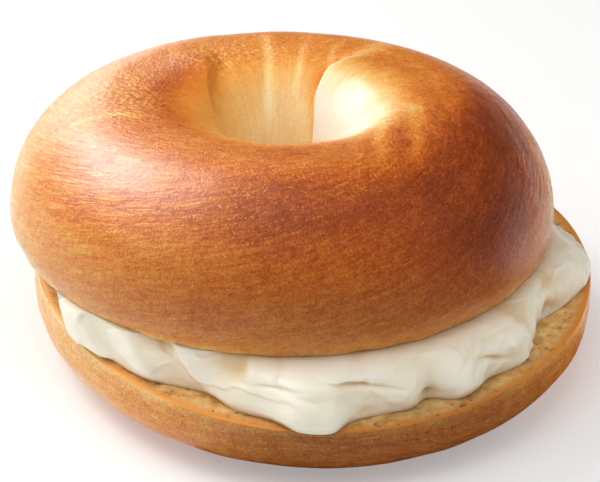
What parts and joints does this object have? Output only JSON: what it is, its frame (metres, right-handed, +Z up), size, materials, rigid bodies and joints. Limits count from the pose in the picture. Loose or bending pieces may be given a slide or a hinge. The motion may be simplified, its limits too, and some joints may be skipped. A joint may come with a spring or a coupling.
{
  "type": "bagel",
  "caption": "Sliced plain bagel with a glossy browned crust, its halves closed slightly askew over a thick uneven layer of cream cheese.",
  "frame": {"origin": "on the plane the bagel stands on, under the middle of its bounding box", "axes": "+Z up through the hole, -Y towards the front, where the cheese reaches the edge of the bottom half"},
  "size_m": [0.1134, 0.1137, 0.0515],
  "materials": {
    "bread_bottom": "satin",
    "cream_cheese": "satin",
    "bread_top": "semi-gloss"
  },
  "bodies": {
    "root": {"bottom_half": "bread_bottom", "cream_cheese": "cream_cheese", "top_half": "bread_top"}
  },
  "joints": []
}
